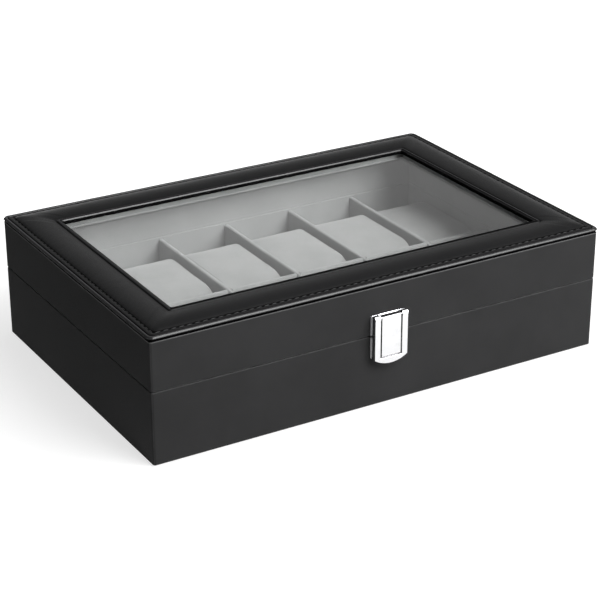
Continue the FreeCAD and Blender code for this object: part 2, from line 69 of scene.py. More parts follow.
class LeatheretteSettings(bpy.types.PropertyGroup):
    """The black leatherette of the walls and of the padded border."""
    wrap_colour: FloatVectorProperty(
        name="Wrap colour", description="Leatherette on the walls", subtype="COLOR",
        size=3, min=0.0, max=1.0, default=(0.030, 0.030, 0.0305))
    border_colour: FloatVectorProperty(
        name="Border colour", description="Leatherette on the padded border", subtype="COLOR",
        size=3, min=0.0, max=1.0, default=(0.010, 0.010, 0.0104))
    thread_colour: FloatVectorProperty(
        name="Thread colour", description="Sewing thread of the border's seam", subtype="COLOR",
        size=3, min=0.0, max=1.0, default=(0.042, 0.042, 0.0425))
    grain: FloatProperty(
        name="Grain", description="Width of one pebble of the grain",
        unit="LENGTH", precision=5, min=0.0001, default=0.0007)


class BorderSettings(bpy.types.PropertyGroup):
    """The padded border round the window, measured in from the wall and up from the board."""
    overhang: FloatProperty(
        name="Overhang", description="How far the outer bead stands past the wall",
        unit="LENGTH", precision=5, default=0.0007)
    width: FloatProperty(
        name="Width", description="Wall to the edge of the window",
        unit="LENGTH", precision=5, default=0.0272)
    seam_in: FloatProperty(
        name="Seam", description="Wall to the sewn seam",
        unit="LENGTH", precision=5, default=0.0043)
    inner_bead: FloatProperty(
        name="Inner bead", description="Width of the bead at the window",
        unit="LENGTH", precision=5, default=0.0033)
    corner: FloatProperty(
        name="Corner", description="Radius of the outer corners",
        unit="LENGTH", precision=5, default=0.0030)
    stitch_pitch: FloatProperty(
        name="Stitch pitch", description="Needle hole to needle hole",
        unit="LENGTH", precision=5, min=0.001, default=0.1 / 21)
    thread: FloatProperty(
        name="Thread", description="Thickness of the thread",
        unit="LENGTH", precision=5, default=0.0007)


class VelvetSettings(bpy.types.PropertyGroup):
    """The grey velvet of the linings, dividers and pillows."""
    lining_colour: FloatVectorProperty(
        name="Lining colour", description="Velvet on the walls, floor and dividers", subtype="COLOR",
        size=3, min=0.0, max=1.0, default=(0.455, 0.459, 0.459))
    pillow_colour: FloatVectorProperty(
        name="Pillow colour", description="Velvet on the pillows", subtype="COLOR",
        size=3, min=0.0, max=1.0, default=(0.455, 0.457, 0.457))
    pile: FloatProperty(
        name="Pile", description="Width of one tuft of the pile",
        unit="LENGTH", precision=5, min=0.0001, default=0.0004)


class PillowSettings(bpy.types.PropertyGroup):
    """The stuffed pillows."""
    pressure: FloatProperty(
        name="Pressure", description="Pressure of the stuffing in the simulation", default=120.0)
    swell: FloatProperty(
        name="Swell", description="Furthest that the stuffing moves the velvet",
        unit="LENGTH", precision=5, default=0.0014)
    top_round: FloatProperty(
        name="Top round", description="Radius of the two upper edges",
        unit="LENGTH", precision=5, default=0.0165)
    foot_round: FloatProperty(
        name="Foot round", description="Radius of the two lower edges",
        unit="LENGTH", precision=5, default=0.0115)
    seed: IntProperty(
        name="Seed", description="Starts the small differences between the pillows", default=7)


class StudioSettings(bpy.types.PropertyGroup):
    """The floor, the light and the camera."""
    floor_colour: FloatVectorProperty(
        name="Floor colour", description="Colour of the floor", subtype="COLOR",
        size=3, min=0.0, max=1.0, default=(0.80, 0.80, 0.80))
    room_light: FloatProperty(
        name="Room light", description="Strength of the soft light all round", default=0.22)
    reflected_light: FloatProperty(
        name="Reflected light", description="Strength of the surroundings in reflections", default=0.55)
    key_power: FloatProperty(
        name="Key power", description="Power of the large lamp at the front right",
        unit="POWER", default=28.0)
    top_power: FloatProperty(
        name="Top power", description="Power of the soft lamp over the box",
        unit="POWER", default=2.8)
    back_power: FloatProperty(
        name="Back power", description="Power of the low lamp behind the box",
        unit="POWER", default=4.5)
    left_power: FloatProperty(
        name="Left power", description="Power of the low lamp on the left",
        unit="POWER", default=0.5)
    side_power: FloatProperty(
        name="Side power", description="Power of the low lamp by the front right corner",
        unit="POWER", default=1.2)
    lens: FloatProperty(
        name="Lens", description="Focal length on a 36 mm sensor, in mm", default=113.0)
    azimuth: FloatProperty(
        name="Azimuth", description="Camera's turn round the box, from straight ahead",
        subtype="ANGLE", default=math.radians(-30.498))
    elevation: FloatProperty(
        name="Elevation", description="Camera's angle above the floor",
        subtype="ANGLE", default=math.radians(24.425))
    roll: FloatProperty(
        name="Roll", description="Camera's turn about its own line of sight",
        subtype="ANGLE", default=math.radians(-0.116))
    camera_place: FloatVectorProperty(
        name="Camera place", description="Where the camera stands", subtype="TRANSLATION",
        unit="LENGTH", size=3, default=(-0.53599, -0.91214, 0.50658))


class WatchBoxSettings(bpy.types.PropertyGroup):
    """All settings of the watch box."""
    leatherette: PointerProperty(type=LeatheretteSettings)
    border: PointerProperty(type=BorderSettings)
    velvet: PointerProperty(type=VelvetSettings)
    pillow: PointerProperty(type=PillowSettings)
    studio: PointerProperty(type=StudioSettings)


# Node helpers

def node(tree, kind, x, y, **settings):
    """Adds a node at a place in the editor and sets its options."""
    made = tree.nodes.new(kind)
    made.location = (x, y)
    for key, value in settings.items():
        setattr(made, key, value)
    return made


def math_node(tree, operation, first, second, x, y):
    """Adds a Math node on two sockets or numbers and returns its output."""
    made = node(tree, "ShaderNodeMath", x, y, operation=operation)
    for place, value in enumerate((first, second)):
        if isinstance(value, bpy.types.NodeSocket):
            tree.links.new(value, made.inputs[place])
        else:
            made.inputs[place].default_value = value
    return made.outputs[0]


def map_range(tree, value, low, high, to_low, to_high, x, y, smooth=False):
    """Adds a Map Range node and returns its output."""
    kind = "SMOOTHSTEP" if smooth else "LINEAR"
    made = node(tree, "ShaderNodeMapRange", x, y, interpolation_type=kind)
    tree.links.new(value, made.inputs["Value"])
    made.inputs["From Min"].default_value = low
    made.inputs["From Max"].default_value = high
    made.inputs["To Min"].default_value = to_low
    made.inputs["To Max"].default_value = to_high
    return made.outputs["Result"]


def noise_node(tree, vector, scale, detail, roughness, x, y):
    """Adds a Noise Texture on a vector and returns the node."""
    made = node(tree, "ShaderNodeTexNoise", x, y)
    tree.links.new(vector, made.inputs["Vector"])
    made.inputs["Scale"].default_value = scale
    made.inputs["Detail"].default_value = detail
    made.inputs["Roughness"].default_value = roughness
    return made


def mix_colour(tree, factor, first, second, x, y):
    """Adds a Mix node from one colour, plain or a socket, to a plain one and returns its output."""
    made = node(tree, "ShaderNodeMix", x, y, data_type="RGBA")
    tree.links.new(factor, made.inputs["Factor"])
    if isinstance(first, bpy.types.NodeSocket):
        tree.links.new(first, made.inputs["A"])
    else:
        made.inputs["A"].default_value = (*first, 1.0)
    made.inputs["B"].default_value = (*second, 1.0)
    return made.outputs["Result"]


def matt(tree, colour, x, y):
    """Adds a plain matt shader and returns its output."""
    made = node(tree, "ShaderNodeBsdfDiffuse", x, y)
    made.inputs["Color"].default_value = (*colour, 1.0)
    return made.outputs[0]


def mix_shaders(tree, factor, first, second, x, y):
    """Adds a Mix Shader node and returns its output."""
    made = node(tree, "ShaderNodeMixShader", x, y)
    for place, socket in enumerate((factor, first, second)):
        tree.links.new(socket, made.inputs[place])
    return made.outputs[0]


def sized_vector(tree, vector, size, x, y):
    """Divides a vector by a size, so that one unit of a pattern is that size."""
    per_metre = math_node(tree, "DIVIDE", 1.0, size, x, y - 160)
    made = node(tree, "ShaderNodeVectorMath", x + 180, y, operation="SCALE")
    tree.links.new(vector, made.inputs[0])
    tree.links.new(per_metre, made.inputs["Scale"])
    return made.outputs[0]


def open_group(name, **sizes):
    """Starts a shader node group that takes a vector and some sizes, and gives their sockets."""
    tree = bpy.data.node_groups.new(name, "ShaderNodeTree")
    tree.interface.new_socket(name="Vector", in_out="INPUT", socket_type="NodeSocketVector")
    for label, value in sizes.items():
        socket = tree.interface.new_socket(
            name=label.replace("_", " "), in_out="INPUT", socket_type="NodeSocketFloat")
        socket.default_value = value
    return tree, node(tree, "NodeGroupInput", -900, 0).outputs


def close_group(tree, **results):
    """Gives a node group its named outputs."""
    for label in results:
        tree.interface.new_socket(name=label, in_out="OUTPUT", socket_type="NodeSocketFloat")
    leave = node(tree, "NodeGroupOutput", 900, 0)
    for label, socket in results.items():
        tree.links.new(socket, leave.inputs[label])
    return tree


def leatherette_grain(name):
    """Pebbles with fine creases between them, and a slow change of tone."""
    tree, given = open_group(name, Grain_Size=0.0007)
    vector = sized_vector(tree, given["Vector"], given["Grain Size"], -700, 0)
    bend = noise_node(tree, vector, 0.8, 2.0, 0.5, -360, 240)
    centred = node(tree, "ShaderNodeVectorMath", -180, 240, operation="SUBTRACT")
    tree.links.new(bend.outputs["Color"], centred.inputs[0])
    centred.inputs[1].default_value = (0.5, 0.5, 0.5)
    warped = node(tree, "ShaderNodeVectorMath", 0, 120, operation="MULTIPLY_ADD")
    tree.links.new(centred.outputs[0], warped.inputs[0])
    warped.inputs[1].default_value = (0.9, 0.9, 0.9)
    tree.links.new(vector, warped.inputs[2])
    cells = node(tree, "ShaderNodeTexVoronoi", 180, 120, feature="DISTANCE_TO_EDGE")
    tree.links.new(warped.outputs[0], cells.inputs["Vector"])
    cells.inputs["Scale"].default_value = 1.0
    pebble = map_range(tree, cells.outputs["Distance"], 0.0, 0.24, 0.0, 1.0, 360, 120, True)
    pores = noise_node(tree, vector, 4.0, 3.0, 0.6, 180, -160)
    fine = math_node(tree, "MULTIPLY", pores.outputs["Fac"], 0.35, 380, -160)
    height = math_node(tree, "ADD", pebble, fine, 560, 60)
    slow = noise_node(tree, vector, 0.014, 4.0, 0.55, 180, -420)
    tone = map_range(tree, slow.outputs["Fac"], 0.3, 0.7, 0.0, 1.0, 380, -420, True)
    return close_group(tree, Height=height, Pebble=pebble, Tone=tone)


def velvet_pile(name):
    """Short tufts, and the patches where the pile leans another way."""
    tree, given = open_group(name, Pile_Size=0.0004, Brush_Size=0.03)
    fine = sized_vector(tree, given["Vector"], given["Pile Size"], -700, 200)
    tufts = noise_node(tree, fine, 1.0, 3.0, 0.65, -300, 200)
    tuft = map_range(tree, tufts.outputs["Fac"], 0.3, 0.7, 0.0, 1.0, -80, 200)
    slow = sized_vector(tree, given["Vector"], given["Brush Size"], -700, -200)
    patches = noise_node(tree, slow, 1.0, 3.0, 0.55, -300, -200)
    lean = map_range(tree, patches.outputs["Fac"], 0.3, 0.7, 0.0, 1.0, -80, -200, True)
    part = math_node(tree, "MULTIPLY", lean, 0.4, 140, -60)
    height = math_node(tree, "ADD", tuft, part, 340, 60)
    return close_group(tree, Height=height, Tuft=tuft, Lean=lean)


def handling_marks(name):
    """Faint smears from fingers, and hairlines along one direction."""
    tree, given = open_group(name, Smear_Size=0.01, Hairline_Size=0.0003)
    wide = sized_vector(tree, given["Vector"], given["Smear Size"], -700, 200)
    smears = noise_node(tree, wide, 1.0, 4.0, 0.6, -300, 200)
    smear = map_range(tree, smears.outputs["Fac"], 0.45, 0.75, 0.0, 1.0, -80, 200, True)
    narrow = sized_vector(tree, given["Vector"], given["Hairline Size"], -700, -200)
    drawn = node(tree, "ShaderNodeMapping", -460, -360)
    drawn.inputs["Scale"].default_value = (0.03, 1.0, 1.0)
    tree.links.new(narrow, drawn.inputs["Vector"])
    lines = noise_node(tree, drawn.outputs["Vector"], 1.0, 2.0, 0.5, -260, -200)
    hairline = map_range(tree, lines.outputs["Fac"], 0.35, 0.65, 0.0, 1.0, -60, -200)
    return close_group(tree, Smear=smear, Hairline=hairline)


def edge_wear_and_highlight(name):
    """Paler along the rims at the parting and down the upright corners, partly where hands rub the skin and
    partly as a painted highlight; and a painted highlight line along the lip at the groove's foot.
    """
    tree, given = open_group(
        name, Rim_Height=PARTING, Half_Length=WALL_HIGH.x, Half_Depth=WALL_HIGH.y, Reach=0.001,
        Lip_Height=GROOVE_FOOT)
    split = node(tree, "ShaderNodeSeparateXYZ", -700, 0)
    tree.links.new(given["Vector"], split.inputs[0])

    def closeness(value, place, y):
        """One at a place, falling to nothing at the reach from it."""
        away = math_node(tree, "SUBTRACT", value, place, -340, y)
        off = math_node(tree, "ABSOLUTE", away, 0.0, -180, y)
        share = math_node(tree, "DIVIDE", off, given["Reach"], 0, y)
        return map_range(tree, share, 0.35, 1.0, 1.0, 0.0, 180, y, True)

    rim = closeness(split.outputs["Z"], given["Rim Height"], 300)
    along = math_node(tree, "ABSOLUTE", split.outputs["X"], 0.0, -520, 60)
    across = math_node(tree, "ABSOLUTE", split.outputs["Y"], 0.0, -520, -180)
    corner = math_node(tree, "MULTIPLY", closeness(along, given["Half Length"], 60),
                       closeness(across, given["Half Depth"], -180), 360, -60)
    edge = math_node(tree, "MAXIMUM", rim, corner, 520, 120)
    patches = noise_node(tree, given["Vector"], 90.0, 4.0, 0.6, 180, -420)
    lightened = map_range(tree, patches.outputs["Fac"], 0.35, 0.65, 0.45, 1.0, 380, -420, True)
    wear_and_highlight = math_node(tree, "MULTIPLY", edge, lightened, 700, 0)
    # Painted highlight: a pale line along the lip at the groove's foot.
    lip_highlight = closeness(split.outputs["Z"], given["Lip Height"], 540)
    return close_group(tree, Wear=wear_and_highlight, Lip=lip_highlight)


def new_finish(name, **plain):
    """Starts a material, with the plain values of its shader set on the shader's own sockets."""
    finish = bpy.data.materials.new(name)
    finish.use_nodes = True
    tree = finish.node_tree
    shader = tree.nodes["Principled BSDF"]
    for label, value in plain.items():
        socket = shader.inputs[label.replace("_", " ")]
        socket.default_value = (*value, 1.0) if isinstance(value, tuple) else value
    place = node(tree, "ShaderNodeTexCoord", -1300, 0)
    return finish, tree, shader, place.outputs["Object"]


def use_group(tree, build, vector, x, y, **sizes):
    """Places a node group in a material, with its own sizes. It is built once and named for its function."""
    name = build.__name__.replace("_", " ").capitalize()
    group = bpy.data.node_groups.get(name) or build(name)
    made = node(tree, "ShaderNodeGroup", x, y, node_tree=group)
    tree.links.new(vector, made.inputs["Vector"])
    for label, value in sizes.items():
        made.inputs[label.replace("_", " ")].default_value = value
    return made.outputs


def coat(tree, shader, tone, rough, height, relief, depth):
    """Joins a tone, a roughness and a height to a shader."""
    tree.links.new(tone, shader.inputs["Base Color"])
    tree.links.new(rough, shader.inputs["Roughness"])
    made = node(tree, "ShaderNodeBump", -220, -360)
    made.inputs["Strength"].default_value = relief
    made.inputs["Distance"].default_value = depth
    tree.links.new(height, made.inputs["Height"])
    tree.links.new(made.outputs["Normal"], shader.inputs["Normal"])


def shade(colour, share):
    """A colour times a share."""
    return tuple(min(1.0, c * share) for c in colour)


# Finishes

# Paler rims and corners (partly wear, partly painted highlight), the lip's painted highlight line, and the
# groove's painted shade.
RIM_WEAR_AND_HIGHLIGHT = 0.45
WEAR_AND_HIGHLIGHT_REACH = 0.0009
WEAR_AND_HIGHLIGHT_TONE = 3.8
GROOVE_SHADE_TONE = 0.05
GROOVE_BLEND = (0.00006, 0.00002)


def leatherette(name, colour, grain, gloss, specular, depth, groove=None):
    """Black leatherette with a fine pebbled grain. With a groove, the rims are made paler, partly as wear and
    partly as a painted highlight, a painted highlight runs along the groove's lip, and the groove's inside
    gets painted shade, near black.
    """
    finish, tree, shader, place = new_finish(
        name, Specular_IOR_Level=specular, Diffuse_Roughness=0.2)
    marks = use_group(tree, leatherette_grain, place, -900, 0, Grain_Size=grain)
    tone = mix_colour(tree, marks["Tone"], shade(colour, 0.92), shade(colour, 1.08), -400, 200)
    dull = math_node(tree, "MULTIPLY", marks["Tone"], 0.06, -600, -40)
    sheen = math_node(tree, "MULTIPLY", marks["Pebble"], -0.05, -600, -220)
    change = math_node(tree, "ADD", dull, sheen, -400, -120)
    rough = math_node(tree, "ADD", change, gloss, -220, -120)
    if groove is not None:
        # Rims and upright corners are made paler, partly as wear and partly as a painted highlight; the
        # groove's lip is made paler as a painted highlight.
        lightened = use_group(tree, edge_wear_and_highlight, place, -900, 420, Reach=WEAR_AND_HIGHLIGHT_REACH, Lip_Height=groove)
        rim = math_node(tree, "MULTIPLY", lightened["Wear"], RIM_WEAR_AND_HIGHLIGHT, -600, 420)
        share = math_node(tree, "MAXIMUM", rim, lightened["Lip"], -420, 480)
        tone = mix_colour(tree, share, tone, shade(colour, WEAR_AND_HIGHLIGHT_TONE), -200, 320)
        # Painted shade: the inside of the groove is made near black, and rougher so that it reflects little.
        split = node(tree, "ShaderNodeSeparateXYZ", -900, 700)
        tree.links.new(place, split.inputs[0])
        start, end = (groove - blend for blend in GROOVE_BLEND)
        groove_shade = map_range(tree, split.outputs["Z"], start, end, 0.0, 1.0, -600, 700)
        tone = mix_colour(tree, groove_shade, tone, shade(colour, GROOVE_SHADE_TONE), 0, 420)
        rough = math_node(tree, "MAXIMUM", rough, groove_shade, 0, -120)
    coat(tree, shader, tone, rough, marks["Height"], 0.35, depth)
    return finish


def velvet(name, colour, pile, brush, sheen):
    """Short-pile velvet: rough, with a soft edge light and patches where the pile leans."""
    finish, tree, shader, place = new_finish(
        name, Specular_IOR_Level=0.12, Sheen_Weight=sheen, Sheen_Roughness=0.45, Diffuse_Roughness=0.6)
    marks = use_group(tree, velvet_pile, place, -900, 0, Pile_Size=pile, Brush_Size=brush)
    lean = map_range(tree, marks["Lean"], 0.0, 1.0, 0.25, 0.75, -640, 240)
    fleck = math_node(tree, "MULTIPLY", marks["Tuft"], 0.25, -640, 60)
    both = math_node(tree, "ADD", lean, fleck, -460, 160)
    tone = mix_colour(tree, both, shade(colour, 0.90), shade(colour, 1.08), -280, 200)
    rough = map_range(tree, marks["Tuft"], 0.0, 1.0, 0.82, 0.96, -460, -120)
    coat(tree, shader, tone, rough, marks["Height"], 0.5, 0.00015)
    return finish


def fibres(name, dark, pale, pile, brush, dull_mark, roughness, relief, depth, **plain):
    """Short fibres of two tones. One kind of mark, tuft or lean, dulls them."""
    finish, tree, shader, place = new_finish(name, **plain)
    marks = use_group(tree, velvet_pile, place, -900, 0, Pile_Size=pile, Brush_Size=brush)
    tone = mix_colour(tree, marks["Tuft"], dark, pale, -400, 200)
    rough = map_range(tree, marks[dull_mark], 0.0, 1.0, *roughness, -400, -100)
    coat(tree, shader, tone, rough, marks["Height"], relief, depth)
    return finish


def thread_finish(colour):
    """Twisted black thread with a slight gloss."""
    return fibres(
        "Sewing thread", shade(colour, 0.7), shade(colour, 1.3), pile=0.00025, brush=0.004,
        dull_mark="Tuft", roughness=(0.4, 0.6), relief=0.4, depth=0.0001, Specular_IOR_Level=0.2)


def felt_finish():
    """Matt black felt, with loose fibres."""
    return fibres(
        "Underside felt", (0.018, 0.018, 0.018), (0.042, 0.042, 0.043), pile=0.0006, brush=0.02,
        dull_mark="Lean", roughness=(0.88, 0.98), relief=0.6, depth=0.0002,
        Specular_IOR_Level=0.1, Sheen_Weight=0.15, Sheen_Roughness=0.6)


def fibreboard_finish():
    """Raw fibreboard: short brown fibres."""
    return fibres(
        "Raw fibreboard", (0.30, 0.21, 0.13), (0.48, 0.36, 0.24), pile=0.0007, brush=0.012,
        dull_mark="Lean", roughness=(0.78, 0.92), relief=0.4, depth=0.0002, Specular_IOR_Level=0.2)


def glass_finish():
    """Clear sheet glass. Light on its way to the lining goes straight through."""
    finish, tree, shader, place = new_finish(
        "Window glass", Transmission_Weight=1.0, IOR=1.45, Metallic=0.0)
    marks = use_group(tree, handling_marks, place, -900, 0, Smear_Size=0.05, Hairline_Size=0.0005)
    tone = mix_colour(tree, marks["Smear"], (1.0, 1.0, 1.0), (0.965, 0.975, 0.97), -400, 200)
    tree.links.new(tone, shader.inputs["Base Color"])
    rough = math_node(tree, "MULTIPLY", marks["Smear"], 0.012, -400, -100)
    tree.links.new(rough, shader.inputs["Roughness"])
    path = node(tree, "ShaderNodeLightPath", 0, 400)
    through = math_node(
        tree, "MAXIMUM", path.outputs["Is Shadow Ray"], path.outputs["Is Diffuse Ray"], 200, 400)
    clear = node(tree, "ShaderNodeBsdfTransparent", 200, 200)
    clear.inputs["Color"].default_value = (0.95, 0.96, 0.955, 1.0)
    blend = mix_shaders(tree, through, shader.outputs[0], clear.outputs[0], 420, 200)
    tree.links.new(blend, tree.nodes["Material Output"].inputs["Surface"])
    return finish


def plating(name, clean, smeared, smear_size, dull_mark, roughness, relief):
    """Plated metal with faint smears. One kind of mark, smear or hairline, dulls it."""
    finish, tree, shader, place = new_finish(name, Metallic=1.0)
    marks = use_group(
        tree, handling_marks, place, -900, 0, Smear_Size=smear_size, Hairline_Size=0.0002)
    tone = mix_colour(tree, marks["Smear"], clean, smeared, -400, 200)
    rough = map_range(tree, marks[dull_mark], 0.0, 1.0, *roughness, -400, -100)
    coat(tree, shader, tone, rough, marks[dull_mark], relief, 0.00005)
    return finish


def chrome_finish():
    """Polished chrome."""
    return plating("Chrome plating", (0.80, 0.80, 0.81), (0.74, 0.74, 0.75), smear_size=0.006,
                   dull_mark="Smear", roughness=(0.05, 0.13), relief=0.05)


def nickel_finish():
    """Nickel with rolling lines."""
    return plating("Nickel plating", (0.62, 0.61, 0.58), (0.55, 0.54, 0.51), smear_size=0.005,
                   dull_mark="Hairline", roughness=(0.22, 0.36), relief=0.12)


def dress(names, finish):
    """Gives CAD nodes a finish through their material slots."""
    for name in names:
        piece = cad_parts[name]
        for slot in piece.material_slots:
            slot.material = finish


def nodes_with(*starts):
    """Names of the CAD nodes that start in one of these ways."""
    return [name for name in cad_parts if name.startswith(starts)]


def new_piece(name, bm, finish, body):
    """Makes an object of a finished bmesh, at the origin, riding on a body."""
    mesh = bpy.data.meshes.new(name)
    bm.to_mesh(mesh)
    bm.free()
    mesh.shade_smooth()
    mesh.materials.append(finish)
    piece = bpy.data.objects.new(name, mesh)
    bpy.context.scene.collection.objects.link(piece)
    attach(piece, body)
    return piece


# Padded border

def edge_run(edge):
    """The vector along an edge, without its sign."""
    step = edge.verts[1].co - edge.verts[0].co
    return Vector((abs(step.x), abs(step.y), abs(step.z)))


def arc(middle, radius, start, end, steps):
    """Points on an arc, in degrees."""
    angles = [math.radians(start + (end - start) * i / steps) for i in range(steps + 1)]
    return [(middle[0] + radius * math.cos(a), middle[1] + radius * math.sin(a)) for a in angles]


def border_section(border):
    """The border's section as (in from the wall, up from the board), round from the outer foot and back."""
    seam, width = border.seam_in / MM, border.width / MM
    inner = width - border.inner_bead / MM
    bead = [(-0.22, 0.12), (-0.42, 0.26), (-0.58, 0.43), (-0.67, 0.62), (-0.69, 0.80), (-0.64, 0.96),
            (-0.53, 1.13), (-0.41, 1.31), (-0.28, 1.48), (-0.13, 1.63), (0.07, 1.76), (0.32, 1.85),
            (0.62, 1.87), (0.92, 1.77), (1.18, 1.56), (1.38, 1.30)]
    band = [(1.52, 1.06), (1.66, 1.34), (1.90, 1.60), (2.30, 1.80)]
    band += [(seam - 1.50, 1.92), (seam - 1.00, 1.93), (seam - 0.60, 1.86), (seam - 0.30, 1.70)]
    valley = [(seam, 1.52), (seam + 0.35, 1.72), (seam + 0.85, 2.04), (seam + 1.45, 2.40)]
    crown = []
    start, end = seam + 2.2, inner - 1.0
    for i in range(13):
        share = i / 12
        lift = (1 - (2 * share - 1) ** 2) ** 0.9
        crown.append((start + (end - start) * share, 2.72 + 1.26 * lift))
    crease = [(inner - 0.40, 2.40), (inner - 0.12, 2.06), (inner + 0.06, 1.84)]
    axis, radius = (inner + 1.72, 1.52), 1.57
    shoulder, flank = arc(axis, radius, 162, 60, 8), arc(axis, radius, 16, 0, 2)
    facet = [tuple(Vector(shoulder[-1]).lerp(Vector(flank[0]), share)) for share in (0.2, 0.8)]
    foot = [(width - 0.02, 0.6), (width - 0.02, 0.0)]
    section = bead + band + valley + crown + crease + shoulder + facet + flank + foot
    return [(inward * MM, height * MM) for inward, height in section]


def run_levels(half):
    """Places along one side, from -1 to 1, closer together near the corners."""
    length = half / MM
    near = [0.0, 0.35, 0.7, 1.05, 1.4, 1.8, 2.2, 2.6, 3.0, 3.6, 4.3, 5.1, 6.0]
    far = [6.0 + i * 0.9 for i in range(1, int((length - 6.0) / 0.9) + 1)]
    steps = [place / length for place in near + far]
    left = [-1 + s for s in steps if s < 0.999]
    return left + [0.0] + [-s for s in reversed(left)]


STITCH_DEPTH, STITCH_REACH = 0.00020, 0.0009
PUCKER_DEPTH, PUCKER_REACH = 0.00003, 0.0022


def seam_pull(along, across, border):
    """How far the stitches pull the padding down, at a place along the seam from its corner and across it."""
    wave = math.cos(2 * math.pi * along / border.stitch_pitch)
    groove = -STITCH_DEPTH * (0.5 + 0.5 * wave) ** 2 * math.exp(-(across / STITCH_REACH) ** 2)
    pucker = -PUCKER_DEPTH * wave * math.exp(-abs(across) / PUCKER_REACH)
    return groove + pucker


BEAD_CREASE = 0.0015
LEAST_CORNER, CORNER_LOSS = 0.35, 20.0


def border_place(along, inward, height, half_run, half_across, border):
    """Sets a point of a side's straight section into its place, with rounded corners. The side faces -Y."""
    run = half_run - inward
    x = along * run
    back = 0.0
    radius = border.corner * max(LEAST_CORNER, 1.0 - CORNER_LOSS * inward)
    short = run - abs(x)
    if short < radius:
        turn = math.radians(45) * (1 - short / radius)
        short = radius - radius * math.sin(turn)
        back = radius - radius * math.cos(turn)
        x = math.copysign(run - short, x)
    if inward > BEAD_CREASE:
        height += seam_pull(half_run - abs(x), inward - border.seam_in, border)
    return Vector((x, -(half_across - inward) + back, height))


# Finish indexes: the bead and the ridge are paler copies of the border leatherette, painted highlight; the
# edge is a darker copy, painted shade.
PADDING, BEAD_HIGHLIGHT, SHADED_EDGE, RIDGE_HIGHLIGHT = range(4)
BEAD_FOOT, BEAD_END, DARK_END = 0.0006, 0.0014, 0.0020
VALLEY_SPAN = (-0.00025, 0.00065)
RIDGE_SPAN = (0.0006, 0.0019)
LINE_SPAN = (0.00245, 0.0031)


def border_skin(inward, height, border):
    """The finish at a place of the section: padding, the paler bead (painted highlight), the darker edge
    (painted shade) or the inner bead's paler ridge (painted highlight).
    """
    past_seam = inward - border.seam_in
    past_crease = inward - border.width + border.inner_bead
    under_bead = inward < 0 and height < BEAD_FOOT
    # The outer bead and the facet line on the inner bead take the paler bead finish, a painted highlight.
    if LINE_SPAN[0] < past_crease < LINE_SPAN[1] or inward < BEAD_END and not under_bead:
        return BEAD_HIGHLIGHT
    # The shoulder of the inner bead takes the paler ridge finish, a painted highlight.
    if RIDGE_SPAN[0] < past_crease < RIDGE_SPAN[1]:
        return RIDGE_HIGHLIGHT
    # The crease, the band's outer slope, the bead's underside, the seam valley and the window side of the
    # inner bead take the darker edge finish, painted shade.
    in_valley = VALLEY_SPAN[0] < past_seam < VALLEY_SPAN[1]
    if inward < DARK_END or in_valley or past_crease > RIDGE_SPAN[0]:
        return SHADED_EDGE
    return PADDING


def border_side(section, run, across, border, lightened):
    """One side of the border, facing -Y: the section from mitre to mitre, its ridge with the painted
    highlight or, without it, the edge finish's painted shade.
    """
    levels = run_levels(run)
    last = len(levels) - 1
    bm = bmesh.new()
    ring = [bm.verts.new((0, inward, height)) for inward, height in section]
    edges = [bm.edges.new((ring[i - 1], ring[i])) for i in range(len(ring))]
    grown = bmesh.ops.extrude_edge_only(bm, edges=edges)["geom"]
    far_ring = [g for g in grown if isinstance(g, bmesh.types.BMVert)]
    bmesh.ops.translate(bm, verts=far_ring, vec=(last, 0, 0))
    along = [e for e in bm.edges if edge_run(e).x > 1.0]
    bmesh.ops.subdivide_edges(bm, edges=along, cuts=last - 1, use_grid_fill=True)
    for f in bm.faces:
        middle = f.calc_center_median()
        skin = border_skin(middle.y, middle.z, border)
        # On the front, the ridge takes the darker edge finish instead, painted shade.
        f.material_index = SHADED_EDGE if skin == RIDGE_HIGHLIGHT and not lightened else skin
    for v in bm.verts:
        v.co = border_place(levels[round(v.co.x)], v.co.y, v.co.z, run, across, border)
    return bm


def join_in(bm, other, matrix):
    """Adds another bmesh to this one, moved by a matrix, and frees it."""
    bmesh.ops.transform(other, matrix=matrix, verts=other.verts)
    spare = bpy.data.meshes.new("spare")
    other.to_mesh(spare)
    other.free()
    bm.from_mesh(spare)
    bpy.data.meshes.remove(spare)


def border_half(border):
    """Half the length and half the depth between the walls' faces."""
    return Vector((COVER_HIGH.x - border.overhang, COVER_HIGH.y - border.overhang))


def border_sides(border):
    """The four sides from the front round: half the run, half the way across, and the turn from the front."""
    half = border_half(border)
    for quarter in range(4):
        run, across = (half.x, half.y) if quarter % 2 == 0 else (half.y, half.x)
        yield run, across, Matrix.Rotation(quarter * math.pi / 2, 4, "Z")


MERGE_REACH = 0.00002
STILL_FOOT = 0.0005
UNEVENNESS = ((0.00007, 45.0), (0.00003, 160.0))


def pad_border(border):
    """The padded border as one closed skin of four sides."""
    section = border_section(border)
    bm = bmesh.new()
    for number, (run, across, turn) in enumerate(border_sides(border)):
        # Only the front side (number 0) goes without the ridge's painted highlight.
        join_in(bm, border_side(section, run, across, border, lightened=number > 0), turn)
    bmesh.ops.remove_doubles(bm, verts=bm.verts, dist=MERGE_REACH)
    soften_mitres(bm, border)
    for v in bm.verts:
        if v.co.z > STILL_FOOT:
            v.co.z += sum(depth * noise.noise(v.co * scale) for depth, scale in UNEVENNESS)
    bmesh.ops.translate(bm, verts=bm.verts, vec=(0, 0, COVER_LOW.z))
    bmesh.ops.recalc_face_normals(bm, faces=bm.faces)
    if any(e.is_boundary for e in bm.edges):
        raise RuntimeError("the border's sides do not meet")
    return bm


CREST_MARGIN = (0.0008, 0.0006)
MITRE_REACH = 0.009
MITRE_PASSES = 14


